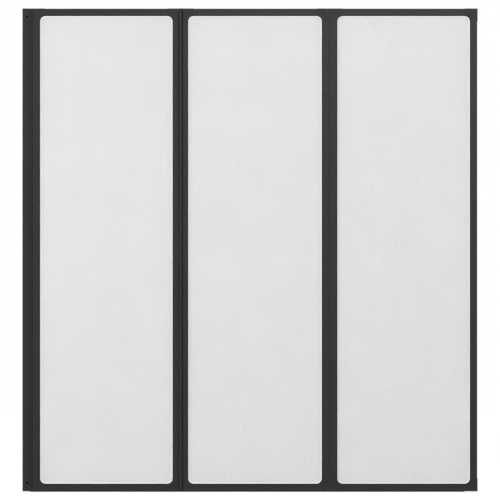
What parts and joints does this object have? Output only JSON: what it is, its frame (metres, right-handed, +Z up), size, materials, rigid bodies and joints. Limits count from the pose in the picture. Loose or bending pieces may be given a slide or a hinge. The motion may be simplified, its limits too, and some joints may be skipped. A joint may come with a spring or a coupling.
{
  "type": "folding bath screen",
  "caption": "Wall-hung folding bath screen of framed translucent panels, joined by full-height knuckle hinges, with an adjustable wall profile and a lip seal along the bottom.",
  "frame": {"origin": "on the wall face of the wall profile, at the middle of the row of wall screws, half way up and half way through the frame's depth", "axes": "+X along the open screen away from the wall, +Y towards the back, +Z up"},
  "size_m": [1.32, 0.033, 1.402],
  "materials": {
    "frame_aluminium": "satin anthracite powder coat",
    "corner_plastic": "fine-grained moulded plastic",
    "pane_plastic": "translucent polystyrene, faintly embossed with drops",
    "glazing_gasket": "soft translucent white strip",
    "seal_rubber": "matt black soft seal",
    "black_steel": "blackened",
    "pin_steel": "ground stainless",
    "bush_nylon": "black nylon"
  },
  "bodies": {
    "wall_side": {"wall_profile": "frame_aluminium", "adjusting_profile": "frame_aluminium", "wall_cap_top": "corner_plastic", "wall_cap_bottom": "corner_plastic", "adjusting_screws": "black_steel", "wall_hinge_bushes": "bush_nylon"},
    "panel_1": {"panel_1_left_stile": "frame_aluminium", "panel_1_right_stile": "frame_aluminium", "panel_1_top_rail": "frame_aluminium", "panel_1_bottom_rail": "frame_aluminium", "panel_1_corner_top_left": "corner_plastic", "panel_1_corner_top_right": "corner_plastic", "panel_1_corner_bottom_left": "corner_plastic", "panel_1_corner_bottom_right": "corner_plastic", "panel_1_pane": "pane_plastic", "panel_1_pane_gasket": "glazing_gasket", "panel_1_bottom_seal": "seal_rubber", "panel_1_frame_screws": "black_steel", "panel_1_hinge_pins": "pin_steel", "panel_1_hinge_seal": "seal_rubber", "panel_1_hinge_bushes": "bush_nylon"},
    "panel_2": {"panel_2_left_stile": "frame_aluminium", "panel_2_right_stile": "frame_aluminium", "panel_2_top_rail": "frame_aluminium", "panel_2_bottom_rail": "frame_aluminium", "panel_2_corner_top_left": "corner_plastic", "panel_2_corner_top_right": "corner_plastic", "panel_2_corner_bottom_left": "corner_plastic", "panel_2_corner_bottom_right": "corner_plastic", "panel_2_pane": "pane_plastic", "panel_2_pane_gasket": "glazing_gasket", "panel_2_bottom_seal": "seal_rubber", "panel_2_frame_screws": "black_steel", "panel_2_hinge_pins": "pin_steel", "panel_2_hinge_seal": "seal_rubber", "panel_2_hinge_bushes": "bush_nylon"},
    "panel_3": {"panel_3_left_stile": "frame_aluminium", "panel_3_right_stile": "frame_aluminium", "panel_3_top_rail": "frame_aluminium", "panel_3_bottom_rail": "frame_aluminium", "panel_3_corner_top_left": "corner_plastic", "panel_3_corner_top_right": "corner_plastic", "panel_3_corner_bottom_left": "corner_plastic", "panel_3_corner_bottom_right": "corner_plastic", "panel_3_pane": "pane_plastic", "panel_3_pane_gasket": "glazing_gasket", "panel_3_bottom_seal": "seal_rubber", "panel_3_frame_screws": "black_steel", "panel_3_hinge_pins": "pin_steel", "panel_3_hinge_seal": "seal_rubber"}
  },
  "joints": [
    {"name": "wall_hinge", "type": "hinge", "parent": "wall_side", "child": "panel_1", "pos_m": [0.0282, 0.01, 0], "axis": [0, 0, 1], "range_deg": [0, 90]},
    {"name": "fold_1_2", "type": "hinge", "parent": "panel_1", "child": "panel_2", "pos_m": [0.4579, -0.01, 0], "axis": [0, 0, -1], "range_deg": [0, 180]},
    {"name": "fold_2_3", "type": "hinge", "parent": "panel_2", "child": "panel_3", "pos_m": [0.8906, 0.01, 0], "axis": [0, 0, 1], "range_deg": [0, 180]}
  ]
}
